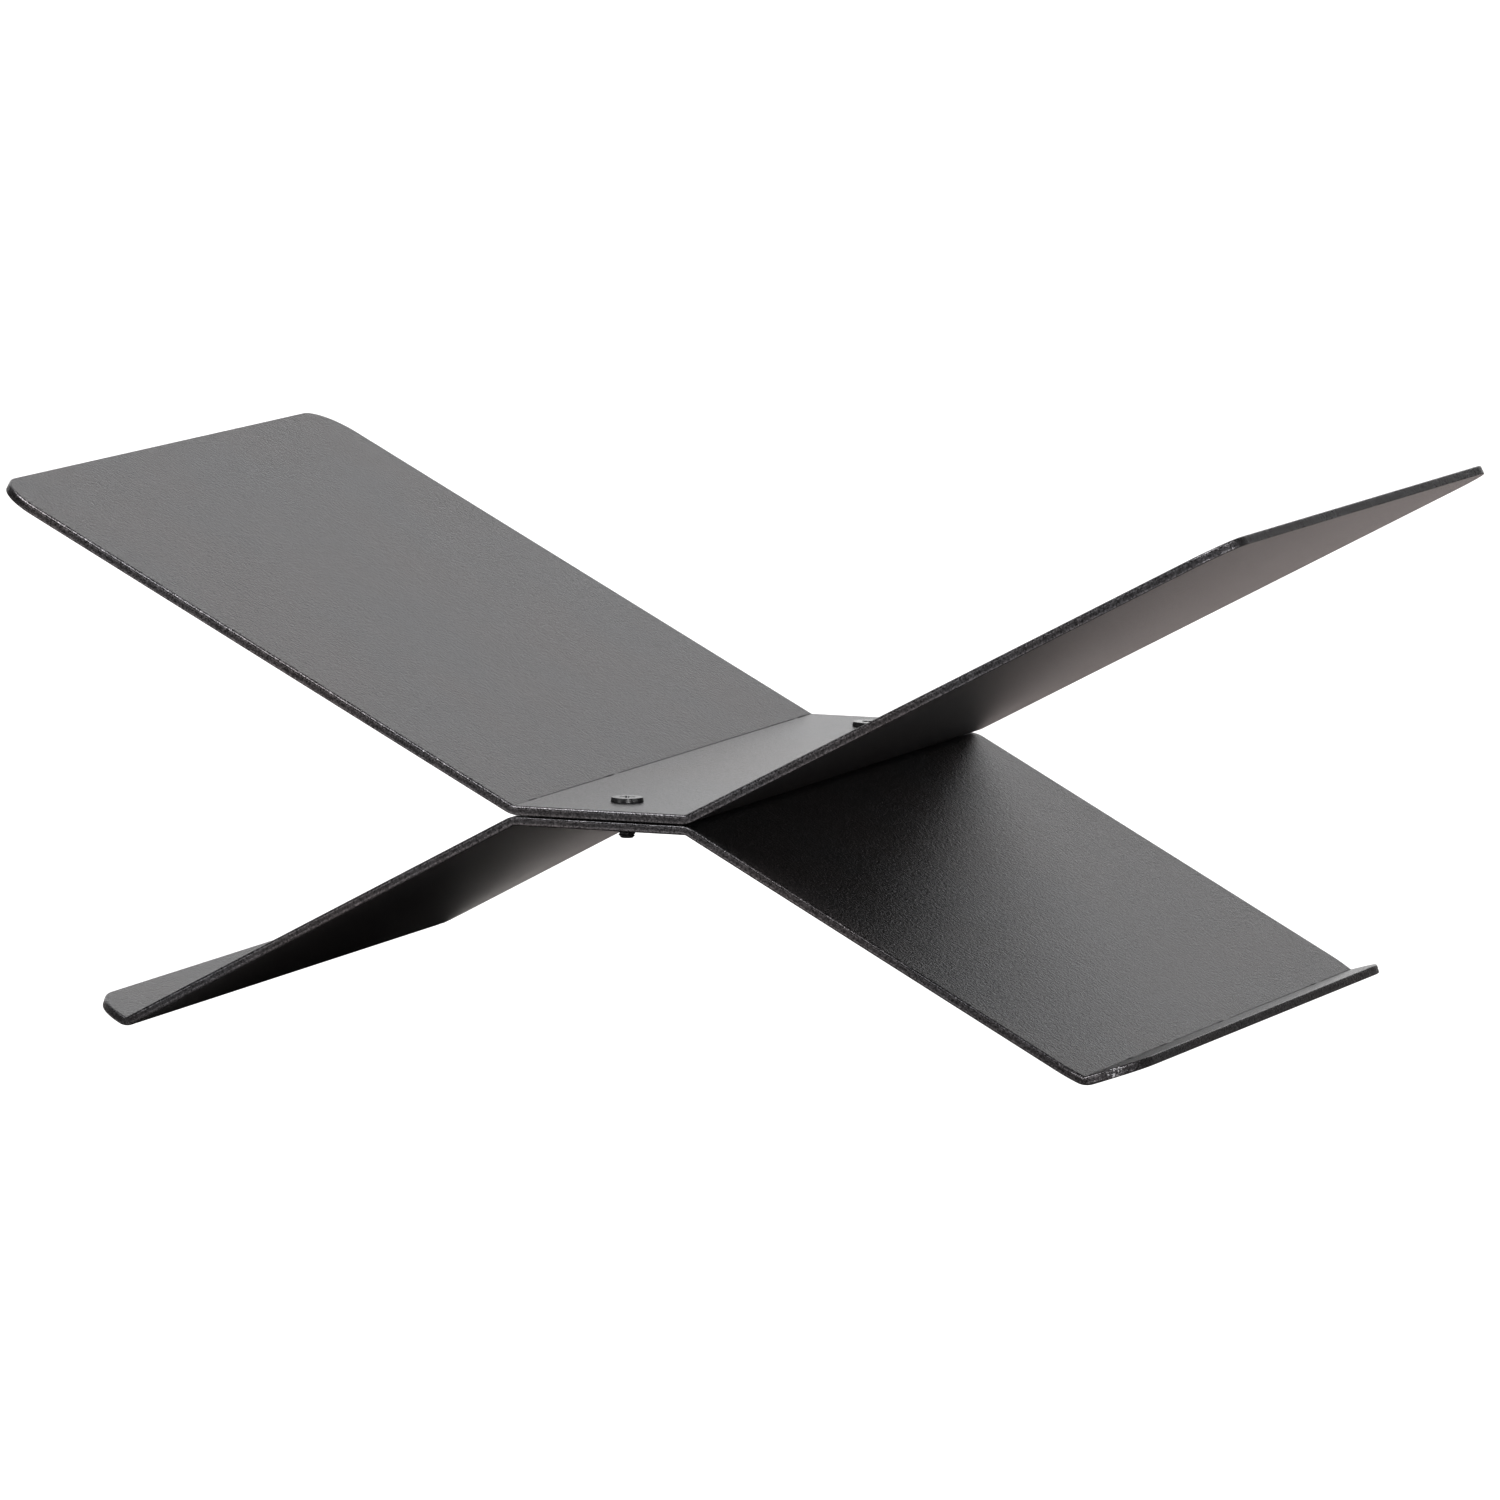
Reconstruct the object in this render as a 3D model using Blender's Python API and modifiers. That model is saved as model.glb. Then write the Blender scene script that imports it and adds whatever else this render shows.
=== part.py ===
"""Book stand of two bent steel sheets, screwed back to back into a low X.

The upper sheet has a flat centre strip and two wings that hold an open book.
The lower sheet has the same strip and two legs, each ending in a short foot
flange that is turned up, so the stand rests on the two rounded foot bends.
Units are metres. +X runs across the stand, +Y to its back, +Z up. The origin
is on the surface it stands on, under the middle of the stand.
"""

import math

import bmesh
import bpy
from mathutils import Matrix

MM = 0.001

# Sheet, as coated.
THICKNESS = 2.8 * MM
DEPTH = 250.0 * MM
CORNER_RADIUS = 14.0 * MM  # of the wings
INNER_BEND_RADIUS = 1.5 * MM
STRIP_BEND_OUTER_RADIUS = 9.0 * MM
FOOT_BEND_OUTER_RADIUS = 6.0 * MM
PLAY = 0.3 * MM  # between faces that rest on each other

# Upper sheet, measured along its top face from the inside of the bend.
STRIP_HALF_WIDTH = 26.5 * MM
WING_LENGTH = 185.0 * MM
WING_ANGLE = math.radians(28.0)

# Lower sheet, measured along its top face between the bends.
LEG_LENGTH = 138.0 * MM
LEG_ANGLE = math.radians(28.5)
FOOT_LENGTH = 14.0 * MM
FOOT_ANGLE = math.radians(18.0)
FOOT_CORNER_RADIUS = 22.0 * MM  # runs over the fold, onto the end of the leg
FOOT_FLAT = math.radians(8.0)  # turn of the one level facet under each foot bend

# M5 screws, two on the centre line.
SCREW_SPACING = 204.0 * MM
HOLE_RADIUS = 2.75 * MM
THREAD_RADIUS = 2.45 * MM
THREAD_ROOT_RADIUS = 2.05 * MM
THREAD_PITCH = 0.8 * MM
SCREW_LENGTH = 10.5 * MM
HEAD_RADIUS = 4.8 * MM
HEAD_HEIGHT = 1.5 * MM
HEAD_EDGE = 0.25 * MM
TIP_CHAMFER = 0.6 * MM
RECESS_SPAN = 4.9 * MM
RECESS_WIDTH = 1.15 * MM
RECESS_DEPTH = 1.2 * MM
SCREW_TURNS = {"screw_front": math.radians(20.0), "screw_rear": math.radians(64.0)}
CLEAR_HALF_LENGTH = 85.0 * MM  # strip face between the screws, clear of their heads

OVERSIZE = 5.0 * MM  # how far a blank runs past its trimmed end


def clear_scene():
    for obj in list(bpy.data.objects):
        bpy.data.objects.remove(obj, do_unlink=True)
    for block in (bpy.data.meshes, bpy.data.curves, bpy.data.materials):
        for item in list(block):
            block.remove(item)


def new_collection(name):
    collection = bpy.data.collections.new(name)
    bpy.context.scene.collection.children.link(collection)
    return collection


def principled(name, color, roughness, metallic):
    material = bpy.data.materials.new(name)
    material.use_nodes = True
    shader = next(n for n in material.node_tree.nodes if n.type == "BSDF_PRINCIPLED")
    shader.inputs["Base Color"].default_value = (*color, 1.0)
    shader.inputs["Roughness"].default_value = roughness
    shader.inputs["Metallic"].default_value = metallic
    return material


def fillet(before, corner, after, radius, segments, stops=None):
    """Points of the arc that rounds a corner of an outline in the XZ plane."""
    ax, az = before[0] - corner[0], before[1] - corner[1]
    bx, bz = after[0] - corner[0], after[1] - corner[1]
    la, lb = math.hypot(ax, az), math.hypot(bx, bz)
    ax, az, bx, bz = ax / la, az / la, bx / lb, bz / lb
    half = math.acos(max(-1.0, min(1.0, ax * bx + az * bz))) / 2
    mx, mz = ax + bx, az + bz
    lm = math.hypot(mx, mz)
    reach = radius / math.sin(half)
    cx, cz = corner[0] + mx / lm * reach, corner[1] + mz / lm * reach
    tangent = radius / math.tan(half)
    start = math.atan2(corner[1] + az * tangent - cz, corner[0] + ax * tangent - cx)
    end = math.atan2(corner[1] + bz * tangent - cz, corner[0] + bx * tangent - cx)
    turn = (end - start + math.pi) % (2 * math.pi) - math.pi
    if stops is None:
        angles = [start + turn * i / segments for i in range(segments + 1)]
    else:
        angles = stops(start, start + turn)
    return [(cx + radius * math.cos(a), cz + radius * math.sin(a)) for a in angles]


def level_facet_stops(start, end):
    """Arc angles that leave one level facet at the lowest point of the arc."""
    down = -math.pi / 2
    low, high = down - FOOT_FLAT / 2, down + FOOT_FLAT / 2
    if start > end:
        low, high = high, low
    left = [start + (low - start) * i / 5 for i in range(6)]
    right = [high + (end - high) * i / 4 for i in range(5)]
    return left + right


def curve_object(name, points, half_depth, collection):
    """A flat closed outline, extruded to both sides of its plane."""
    curve = bpy.data.curves.new(name, "CURVE")
    curve.dimensions = "2D"
    curve.fill_mode = "BOTH"
    curve.extrude = half_depth
    spline = curve.splines.new("POLY")
    spline.points.add(len(points) - 1)
    for point, (x, y) in zip(spline.points, points):
        point.co = (x, y, 0.0, 1.0)
    spline.use_cyclic_u = True
    obj = bpy.data.objects.new(name, curve)
    collection.objects.link(obj)
    return obj


def to_mesh(obj, collection):
    """The curve object as a welded mesh object of the same name and place."""
    bpy.context.view_layer.update()
    graph = bpy.context.evaluated_depsgraph_get()
    mesh = bpy.data.meshes.new_from_object(obj.evaluated_get(graph))
    work = bmesh.new()
    work.from_mesh(mesh)
    bmesh.ops.remove_doubles(work, verts=work.verts, dist=1e-6)
    bmesh.ops.dissolve_degenerate(work, dist=1e-7, edges=work.edges)
    bmesh.ops.recalc_face_normals(work, faces=work.faces)
    work.to_mesh(mesh)
    work.free()
    name, place = obj.name, obj.matrix_world.copy()
    curve = obj.data
    bpy.data.objects.remove(obj, do_unlink=True)
    bpy.data.curves.remove(curve)
    made = bpy.data.objects.new(name, mesh)
    mesh.name = name
    made.matrix_world = place
    collection.objects.link(made)
    return made


def as_cutter(obj):
    obj.hide_render = True
    obj.display_type = "WIRE"
    return obj


def cut(obj, cutter):
    modifier = obj.modifiers.new("cut " + cutter.name, "BOOLEAN")
    modifier.operation = "DIFFERENCE"
    modifier.solver = "EXACT"
    modifier.object = cutter


def end_trim(name, length, radius, place, collection):
    """A cutter that ends a flange at a length and rounds its two corners."""
    half, out = DEPTH / 2, 8 * MM
    far = length + OVERSIZE + out
    start = length - radius
    steps = 14
    inner = [
        (
            start + radius * math.sin(math.pi / 2 * i / steps),
            -half + radius - radius * math.cos(math.pi / 2 * i / steps),
        )
        for i in range(steps + 1)
    ]
    mirrored = [(u, -v) for u, v in reversed(inner)]
    outline = (
        [(start, -half - out)]
        + inner
        + mirrored
        + [(start, half + out), (far, half + out), (far, -half - out)]
    )
    trim = curve_object(name, outline, 14 * MM, collection)
    trim.matrix_world = place
    return as_cutter(to_mesh(trim, collection))


def flange_place(side, x, z, rise):
    """Frame with +X along a flange, +Y along its bend and +Z its upper normal."""
    turn = Matrix.Rotation(0.0 if side > 0 else math.pi, 4, "Z")
    tilt = Matrix.Rotation(-rise, 4, "Y")
    return Matrix.Translation((side * x, 0.0, z)) @ turn @ tilt


def mirrored_outline(top, bottom):
    """Closed outline from the right half of its upper and its lower line."""
    left_top = [(-x, z) for x, z in reversed(top)]
    left_bottom = [(-x, z) for x, z in bottom]
    return left_top + top + list(reversed(bottom)) + left_bottom


def extruded_plate(name, outline, collection):
    plate = curve_object(name, outline, DEPTH / 2, collection)
    plate.rotation_euler = (math.pi / 2, 0.0, 0.0)
    return to_mesh(plate, collection)


def bound_clear_face(plate):
    """Apply the cuts, then draw two lines across the plate that bound the strip's
    faces between the screws, where a book's spine or a bracket lies flat."""
    bpy.context.view_layer.update()
    graph = bpy.context.evaluated_depsgraph_get()
    mesh = bpy.data.meshes.new_from_object(plate.evaluated_get(graph))
    plate.modifiers.clear()
    blank, plate.data = plate.data, mesh
    bpy.data.meshes.remove(blank)
    mesh.name = plate.name
    work = bmesh.new()
    work.from_mesh(mesh)
    # The section was drawn upright, so the plate's own Z runs along its depth.
    for along in (-CLEAR_HALF_LENGTH, CLEAR_HALF_LENGTH):
        bmesh.ops.bisect_plane(
            work,
            geom=work.verts[:] + work.edges[:] + work.faces[:],
            dist=1e-6,
            plane_co=(0.0, 0.0, along),
            plane_no=(0.0, 0.0, 1.0),
        )
    work.to_mesh(mesh)
    work.free()


def hole_cutter(name, y, z, collection):
    mesh = bpy.data.meshes.new(name)
    work = bmesh.new()
    bmesh.ops.create_cone(
        work,
        cap_ends=True,
        segments=40,
        radius1=HOLE_RADIUS,
        radius2=HOLE_RADIUS,
        depth=16 * MM,
    )
    work.to_mesh(mesh)
    work.free()
    obj = bpy.data.objects.new(name, mesh)
    obj.location = (0.0, y, z)
    collection.objects.link(obj)
    return as_cutter(obj)


def upper_section():
    """Right half of the upper sheet's section, as (x, z) from the contact plane."""
    ct, st = math.cos(WING_ANGLE), math.sin(WING_ANGLE)
    base = PLAY
    inner = (STRIP_HALF_WIDTH, base + THICKNESS)
    outer = (STRIP_HALF_WIDTH + THICKNESS * math.tan(WING_ANGLE / 2), base)
    reach = WING_LENGTH + OVERSIZE
    tip = (inner[0] + reach * ct, inner[1] + reach * st)
    under = (tip[0] + THICKNESS * st, tip[1] - THICKNESS * ct)
    top = fillet((0.0, inner[1]), inner, tip, INNER_BEND_RADIUS, 4) + [tip]
    bottom = fillet((0.0, base), outer, under, STRIP_BEND_OUTER_RADIUS, 8) + [under]
    return top, bottom


def lower_section():
    """Right half of the lower sheet's section, as (x, z) from the contact plane."""
    cs, ss = math.cos(LEG_ANGLE), math.sin(LEG_ANGLE)
    cf, sf = math.cos(FOOT_ANGLE), math.sin(FOOT_ANGLE)
    half_foot = (LEG_ANGLE + FOOT_ANGLE) / 2
    inner = (STRIP_HALF_WIDTH, -THICKNESS)
    outer = (STRIP_HALF_WIDTH + THICKNESS * math.tan(LEG_ANGLE / 2), 0.0)
    foot = (outer[0] + LEG_LENGTH * cs, -LEG_LENGTH * ss)
    slip = THICKNESS * math.tan(half_foot)
    sole = (
        foot[0] - THICKNESS * ss + slip * cs,
        foot[1] - THICKNESS * cs - slip * ss,
    )
    reach = FOOT_LENGTH + OVERSIZE
    tip = (foot[0] + reach * cf, foot[1] + reach * sf)
    under = (tip[0] + THICKNESS * sf, tip[1] - THICKNESS * cf)
    top = (
        fillet((0.0, 0.0), outer, foot, STRIP_BEND_OUTER_RADIUS, 8)
        + fillet(outer, foot, tip, INNER_BEND_RADIUS, 5)
        + [tip]
    )
    bottom = (
        fillet((0.0, -THICKNESS), inner, sole, INNER_BEND_RADIUS, 4)
        + fillet(inner, sole, under, FOOT_BEND_OUTER_RADIUS, 9, level_facet_stops)
        + [under]
    )
    return top, bottom, foot


def screw_profile():
    """Half section of the screw, from its top down its outer side, about z = 0
    under the head."""
    points = [
        (0.0, HEAD_HEIGHT),
        (HEAD_RADIUS - HEAD_EDGE, HEAD_HEIGHT),
        (HEAD_RADIUS - 0.3 * HEAD_EDGE, HEAD_HEIGHT - 0.3 * HEAD_EDGE),
        (HEAD_RADIUS, HEAD_HEIGHT - HEAD_EDGE),
        (HEAD_RADIUS, 0.1 * MM),
        (HEAD_RADIUS - 0.1 * MM, 0.0),
        (THREAD_RADIUS, 0.0),
    ]
    z = -0.6 * MM
    points.append((THREAD_RADIUS, z))
    end = -SCREW_LENGTH + TIP_CHAMFER
    while z - THREAD_PITCH > end:
        points.append((THREAD_ROOT_RADIUS, z - 0.45 * THREAD_PITCH))
        points.append((THREAD_ROOT_RADIUS, z - 0.55 * THREAD_PITCH))
        points.append((THREAD_RADIUS, z - THREAD_PITCH))
        z -= THREAD_PITCH
    points.append((THREAD_RADIUS, end))
    points.append((THREAD_RADIUS - TIP_CHAMFER, -SCREW_LENGTH))
    points.append((0.0, -SCREW_LENGTH))
    return points


def recess_cutter(name, place, collection):
    """One arm pair of the cross recess: a box that narrows downwards."""
    mesh = bpy.data.meshes.new(name)
    work = bmesh.new()
    bmesh.ops.create_cube(work, size=1.0)
    above = 0.5 * MM
    for vert in work.verts:
        low = vert.co.z < 0
        vert.co.x *= RECESS_SPAN * (0.45 if low else 1.0 + 0.55 * above / RECESS_DEPTH)
        vert.co.y *= RECESS_WIDTH * (0.8 if low else 1.0)
        vert.co.z = HEAD_HEIGHT - RECESS_DEPTH if low else HEAD_HEIGHT + above
    work.to_mesh(mesh)
    work.free()
    obj = bpy.data.objects.new(name, mesh)
    obj.matrix_world = place
    collection.objects.link(obj)
    return as_cutter(obj)


def make_screw(name, y, z, turn, material, parts, cutters):
    mesh = bpy.data.meshes.new(name)
    work = bmesh.new()
    verts = [work.verts.new((x, 0.0, h)) for x, h in screw_profile()]
    for a, b in zip(verts, verts[1:]):
        work.edges.new((a, b))
    work.to_mesh(mesh)
    work.free()
    obj = bpy.data.objects.new(name, mesh)
    parts.objects.link(obj)
    obj.location = (0.0, y, z)
    obj.rotation_euler = (0.0, 0.0, turn)
    spin = obj.modifiers.new("turn", "SCREW")
    spin.axis = "Z"
    spin.steps = 40
    spin.render_steps = 40
    spin.use_merge_vertices = True
    spin.merge_threshold = 0.00001
    spin.use_smooth_shade = False
    place = Matrix.Translation((0.0, y, z)) @ Matrix.Rotation(turn, 4, "Z")
    cross = Matrix.Rotation(math.pi / 2, 4, "Z")
    cut(obj, recess_cutter(name + " recess a", place, cutters))
    cut(obj, recess_cutter(name + " recess b", place @ cross, cutters))
    mesh.materials.append(material)
    return obj


def shade(obj, degrees):
    for polygon in obj.data.polygons:
        polygon.use_smooth = True
    obj.data.set_sharp_from_angle(angle=math.radians(degrees))


def main():
    clear_scene()
    parts = new_collection("book_stand")
    cutters = new_collection("cutters")

    coat_upper = principled("powder coat, upper sheet", (0.052, 0.052, 0.054), 0.55, 0.0)
    coat_lower = principled("powder coat, lower sheet", (0.050, 0.050, 0.052), 0.55, 0.0)
    black_steel = principled("blackened steel", (0.030, 0.030, 0.032), 0.38, 0.9)

    lower_top, lower_bottom, foot = lower_section()
    contact = -min(z for _, z in lower_bottom)  # height where the sheets meet

    root = bpy.data.objects.new("book_stand", None)
    parts.objects.link(root)

    upper = extruded_plate("upper_plate", mirrored_outline(*upper_section()), parts)
    upper.location.z = contact
    lower = extruded_plate("lower_plate", mirrored_outline(lower_top, lower_bottom), parts)
    lower.location.z = contact
    upper.data.materials.append(coat_upper)
    lower.data.materials.append(coat_lower)

    for side, word in ((-1, "left"), (1, "right")):
        wing = flange_place(side, STRIP_HALF_WIDTH, contact + PLAY + THICKNESS, WING_ANGLE)
        cut(upper, end_trim(word + " wing end", WING_LENGTH, CORNER_RADIUS, wing, cutters))
        sole = flange_place(side, foot[0], contact + foot[1], FOOT_ANGLE)
        foot_end = end_trim(word + " foot end", FOOT_LENGTH, FOOT_CORNER_RADIUS, sole, cutters)
        cut(lower, foot_end)

    head_seat = contact + PLAY + THICKNESS + PLAY
    for name, y in (("screw_front", -SCREW_SPACING / 2), ("screw_rear", SCREW_SPACING / 2)):
        hole = hole_cutter(name + " hole", y, contact, cutters)
        cut(upper, hole)
        cut(lower, hole)
        screw = make_screw(name, y, head_seat, SCREW_TURNS[name], black_steel, parts, cutters)
        screw.parent = root

    for plate in (upper, lower):
        bound_clear_face(plate)
        shade(plate, 25)
        plate.parent = root


main()
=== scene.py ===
"""Looks of the book stand: two powder-coated bent sheets and two black screws.

Each sheet is a fine mesh in the place of its plain CAD solid: the same bent
section and outline, with rounded cut edges, pressed bend lines and the lumpy
skin that powder coat has on an edge. Lengths are in millimetres until a mesh
is made, and the frame's metres after that. +X right, +Y back, +Z up.
"""

import math

import bmesh
import bpy
import numpy as np
from mathutils import Matrix, Vector, noise
from mathutils.geometry import delaunay_2d_cdt


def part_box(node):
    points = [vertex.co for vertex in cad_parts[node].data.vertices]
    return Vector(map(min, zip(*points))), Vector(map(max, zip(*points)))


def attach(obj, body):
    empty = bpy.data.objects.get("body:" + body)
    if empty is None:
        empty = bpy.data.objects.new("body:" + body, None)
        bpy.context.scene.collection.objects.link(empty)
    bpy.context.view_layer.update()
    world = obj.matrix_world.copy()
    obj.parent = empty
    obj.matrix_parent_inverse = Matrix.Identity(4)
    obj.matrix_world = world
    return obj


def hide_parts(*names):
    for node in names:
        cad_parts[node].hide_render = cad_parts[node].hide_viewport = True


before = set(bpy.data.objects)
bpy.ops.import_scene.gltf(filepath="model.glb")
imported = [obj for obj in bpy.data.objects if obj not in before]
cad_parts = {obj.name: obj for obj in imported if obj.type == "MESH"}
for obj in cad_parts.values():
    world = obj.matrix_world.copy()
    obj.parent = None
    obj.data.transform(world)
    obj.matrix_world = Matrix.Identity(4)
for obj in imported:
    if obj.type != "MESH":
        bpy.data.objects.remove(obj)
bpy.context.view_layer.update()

MM = 0.001

# The design's own sizes, in millimetres.
THICKNESS = 2.8
DEPTH = 250.0
WING_CORNER_RADIUS = 14.0
FOOT_CORNER_RADIUS = 22.0
INNER_BEND_RADIUS = 1.5
STRIP_BEND_OUTER_RADIUS = 9.0
FOOT_BEND_INNER_RADIUS = 1.0
FOOT_BEND_OUTER_RADIUS = 6.0
STRIP_HALF_WIDTH = 26.5
WING_LENGTH = 185.0
WING_ANGLE = math.radians(28.0)
LEG_LENGTH = 138.0
LEG_ANGLE = math.radians(28.5)
FOOT_LENGTH = 14.0
FOOT_ANGLE = math.radians(18.0)
SCREW_SPACING = 204.0
SCREW_TURNS = {"screw_front": math.radians(20.0), "screw_rear": math.radians(64.0)}

HALF_DEPTH = DEPTH / 2
EDGE_STEP = 0.6  # distance between points along a cut edge


# ---------------------------------------------------------------- sections


def direction(angle):
    return np.array([math.cos(angle), math.sin(angle)])


def upright(angle):
    """Upper normal of a flat that runs at this angle, as (x, z)."""
    return np.array([-math.sin(angle), math.cos(angle)])


class Flat:
    def __init__(self, start, length, top, angle):
        self.start, self.length, self.top, self.angle = start, length, top, angle

    def points(self, t):
        s = (t - self.start)[:, None]
        top = self.top + s * direction(self.angle)
        n = np.broadcast_to(upright(self.angle), top.shape)
        return top, n, top - THICKNESS * n, -n


class Bend:
    """A press-brake bend: a tight arc inside, a wide one outside, each about its
    own centre, so that the sheet is a little thinner in the bend."""

    def __init__(self, start, top_corner, angle, turn, inner_radius, outer_radius):
        self.start, self.angle, self.turn = start, angle, turn
        self.sign = 1.0 if turn > 0 else -1.0  # +1 where the inside is on top
        half = abs(turn) / 2
        self.ri, self.ro = inner_radius, outer_radius
        self.reach = (outer_radius - THICKNESS) * math.tan(half)
        self.tangent = inner_radius * math.tan(half)
        self.arc = inner_radius * abs(turn)
        self.length = 2 * (self.reach - self.tangent) + self.arc
        self.crease = start + self.length / 2
        before, after = upright(angle), upright(angle + turn)
        middle = upright(angle + turn / 2)
        if self.sign > 0:
            self.inner = top_corner
            self.next_top = top_corner
        else:
            self.inner = top_corner - THICKNESS * before
            self.next_top = self.inner + THICKNESS * after
        outer = self.inner - self.sign * THICKNESS / math.cos(half) * middle
        self.inner_centre = self.inner + self.sign * inner_radius / math.cos(half) * middle
        self.outer_centre = outer + self.sign * outer_radius / math.cos(half) * middle

    def points(self, t):
        s = t - self.start
        # Outer face: one arc all along.
        angle = self.angle + self.turn * s / self.length
        n_out = np.stack([-np.sin(angle), np.cos(angle)], 1)
        outer = self.outer_centre - self.sign * self.ro * n_out
        # Inner face: straight, arc, straight.
        lead = self.reach - self.tangent
        along = np.clip(s - lead, 0.0, self.arc) / self.ri * self.sign
        turned = self.angle + along
        n_in = np.stack([-np.sin(turned), np.cos(turned)], 1)
        inner = self.inner_centre - self.sign * self.ri * n_in
        inner = inner + np.minimum(s - lead, 0.0)[:, None] * direction(self.angle)
        past = np.maximum(s - lead - self.arc, 0.0)[:, None]
        inner = inner + past * direction(self.angle + self.turn)
        if self.sign > 0:
            return inner, n_in, outer, -n_out
        return outer, n_out, inner, -n_in

    def stops(self):
        """Stations that the mesh needs a line at: fine about the pressed line."""
        fine = [0.0, 0.08, 0.16, 0.24, 0.34, 0.46, 0.62, 0.80]
        low, high = self.start, self.start + self.length
        lines = {low, high}
        for f in fine:
            lines |= {x for x in (self.crease - f, self.crease + f) if low + 0.07 < x < high - 0.07}
        count = 10
        for i in range(1, count):
            at = self.start + self.length * i / count
            if min(abs(at - x) for x in lines) > 0.10:
                lines.add(at)
        return sorted(lines)


class Section:
    """A sheet's section from its middle to its right end; the left mirrors it."""

    def __init__(self, top_height, bends, last_length, corner_radius):
        self.pieces, self.bends = [], []
        self.corner_radius = corner_radius
        t, used, angle = 0.0, 0.0, 0.0
        reference = np.array([0.0, top_height])
        for distance, turn, inner_radius, outer_radius in bends:
            corner = reference + distance * direction(angle)
            reach = (outer_radius - THICKNESS) * math.tan(abs(turn) / 2)
            length = distance - reach - used
            self.pieces.append(Flat(t, length, reference + used * direction(angle), angle))
            t += length
            bend = Bend(t, corner, angle, turn, inner_radius, outer_radius)
            self.pieces.append(bend)
            self.bends.append(bend)
            t += bend.length
            reference, used, angle = bend.next_top, bend.reach, angle + turn
        length = last_length - used
        self.pieces.append(Flat(t, length, reference + used * direction(angle), angle))
        self.end = t + length
        self.starts = np.array([p.start for p in self.pieces])

    def surface(self, t, side):
        """Points and outward normals, as (x, z), of the upper (side 1) or the
        lower face (side -1) at stations t, which are negative on the left."""
        t = np.asarray(t, float)
        mirror = np.where(t < 0, -1.0, 1.0)
        a = np.abs(t)
        which = np.clip(np.searchsorted(self.starts, a, side="right") - 1, 0, None)
        point, normal = np.zeros((len(t), 2)), np.zeros((len(t), 2))
        for i, piece in enumerate(self.pieces):
            here = which == i
            if here.any():
                top, n_top, low, n_low = piece.points(a[here])
                point[here], normal[here] = (top, n_top) if side > 0 else (low, n_low)
        point[:, 0] *= mirror
        normal[:, 0] *= mirror
        return point, normal

    def edge_stations(self):
        """Stations of the front edge's points, right half."""
        found = []
        for piece in self.pieces:
            if isinstance(piece, Flat):
                count = max(1, round(piece.length / EDGE_STEP))
                found += [piece.start + piece.length * i / count for i in range(count)]
            else:
                found += piece.stops()[:-1]
        return found


# ---------------------------------------------------------------- outlines


def outline(section):
    """The flat sheet's edge, anticlockwise from above: (t, v) and the outward
    normal at each point."""
    end, r = section.end, section.corner_radius
    turn_at = end - r
    half = [t for t in section.edge_stations() if t < turn_at - 0.2] + [turn_at]
    front = [-t for t in reversed(half[1:])] + half
    points = [((t, -HALF_DEPTH), (0.0, -1.0)) for t in front]
    # Angles of the rounding's points, from the front edge to the end, with one
    # wherever it passes over a line of a bend.
    steps = round(math.pi / 2 * r / EDGE_STEP)
    crossed = [math.asin((t - turn_at) / r) for b in section.bends for t in b.stops()
               if turn_at + 0.1 < t < end - 0.1]
    turns = [math.pi / 2 * i / steps for i in range(1, steps)]
    turns = [a for a in turns if all(abs(a - c) * r > 0.16 for c in crossed)]
    turns = sorted(turns + crossed) + [math.pi / 2]
    back = [math.pi / 2 - a for a in reversed(turns[:-1])] + [math.pi / 2]

    def corner(ct, cv, start, angles):
        for a in angles:
            a += start
            yield (ct + r * math.cos(a), cv + r * math.sin(a)), (math.cos(a), math.sin(a))

    points += corner(turn_at, -HALF_DEPTH + r, -math.pi / 2, turns)
    side = 2 * (HALF_DEPTH - r)
    count = round(side / EDGE_STEP)
    points += [
        ((end, -HALF_DEPTH + r + side * i / count), (1.0, 0.0)) for i in range(1, count + 1)
    ]
    points += corner(turn_at, HALF_DEPTH - r, 0.0, back)
    points += [((t, HALF_DEPTH), (0.0, 1.0)) for t in reversed(front[:-1])]
    points += corner(-turn_at, HALF_DEPTH - r, math.pi / 2, turns)
    points += [
        ((-end, HALF_DEPTH - r - side * i / count), (-1.0, 0.0)) for i in range(1, count + 1)
    ]
    points += list(corner(-turn_at, -HALF_DEPTH + r, math.pi, back))[:-1]
    return np.array([p for p, _ in points]), np.array([n for _, n in points])


def circle(v, radius, count=56):
    """A hole's edge, clockwise from above, with normals that point into it."""
    a = -2 * math.pi * np.arange(count) / count
    ring = np.stack([np.cos(a), np.sin(a)], 1)
    return ring * radius + (0.0, v), -ring


# A cut edge has a low bevel and a small rounding on the burred side, and one
# rounding on the side that the cut rolled over.
BEVEL_TILT = math.radians(28.0)
BEVEL_WIDTH, BURR_RADIUS = 0.50, 0.66


def quarter(inset, drop, first=0.0, count=7):
    """Rows (inset from the edge, height over the face) down an arris, from the
    tilt `first` to the edge itself."""
    rows = []
    for i in range(count):
        a = first + (math.pi / 2 - first) * i / (count - 1)
        rows.append((inset * (1 - math.sin(a)), -drop * (math.cos(first) - math.cos(a))))
    return rows


def burr_rows():
    wide, fall = BEVEL_WIDTH * math.cos(BEVEL_TILT), BEVEL_WIDTH * math.sin(BEVEL_TILT)
    arc = quarter(BURR_RADIUS, BURR_RADIUS, BEVEL_TILT)
    top = arc[0][0] + wide
    rows = [(top + 0.08, 0.0)]
    rows += [(top - wide * f, -fall * f) for f in (0.06, 0.35, 0.65, 0.94)]
    return rows + [(inset, lift - fall) for inset, lift in arc[1:]]


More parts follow.
